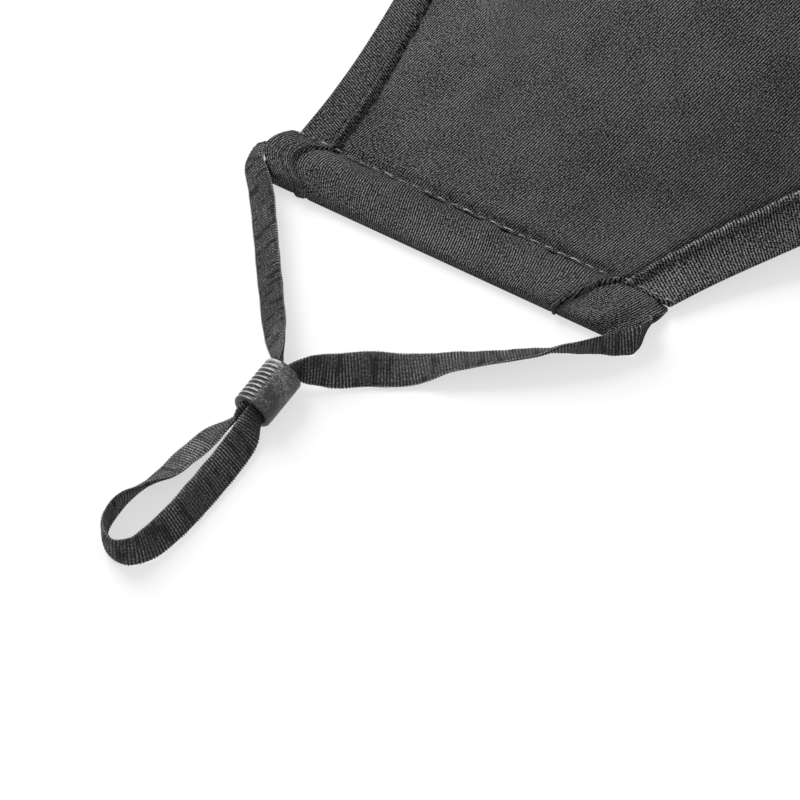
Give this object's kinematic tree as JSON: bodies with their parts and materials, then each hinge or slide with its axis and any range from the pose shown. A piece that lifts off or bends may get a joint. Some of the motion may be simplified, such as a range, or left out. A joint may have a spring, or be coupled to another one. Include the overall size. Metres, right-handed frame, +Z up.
{
  "type": "cloth face mask",
  "caption": "Contoured cloth face mask with bound edges, side casings and flat elastic ear straps, each with a ribbed sliding adjuster.",
  "frame": {"origin": "middle of the mask on the surface that it rests on, under the centre of its overall box", "axes": "+X from the left ear to the right ear, +Y towards the nose edge, +Z up, out of the outside of the cloth"},
  "size_m": [0.3672, 0.1245, 0.0436],
  "materials": {
    "cloth": "dark charcoal cloth with a fine diagonal weave, matt",
    "binding": "dark charcoal folded strip with a fine weave, matt, topstitched",
    "elastic": "dark grey knitted elastic with fine cross ribs, slightly shiny",
    "soft_rubber": "dark grey soft moulded rubber, satin"
  },
  "bodies": {
    "root": {"mask_panel_left": "cloth", "mask_panel_right": "cloth", "nose_edge_binding": "binding", "chin_edge_binding": "binding", "strap_casing_left": "cloth", "strap_casing_right": "cloth", "ear_strap_left": "elastic", "ear_strap_right": "elastic", "strap_adjuster_left": "soft_rubber", "strap_adjuster_right": "soft_rubber"}
  },
  "joints": []
}
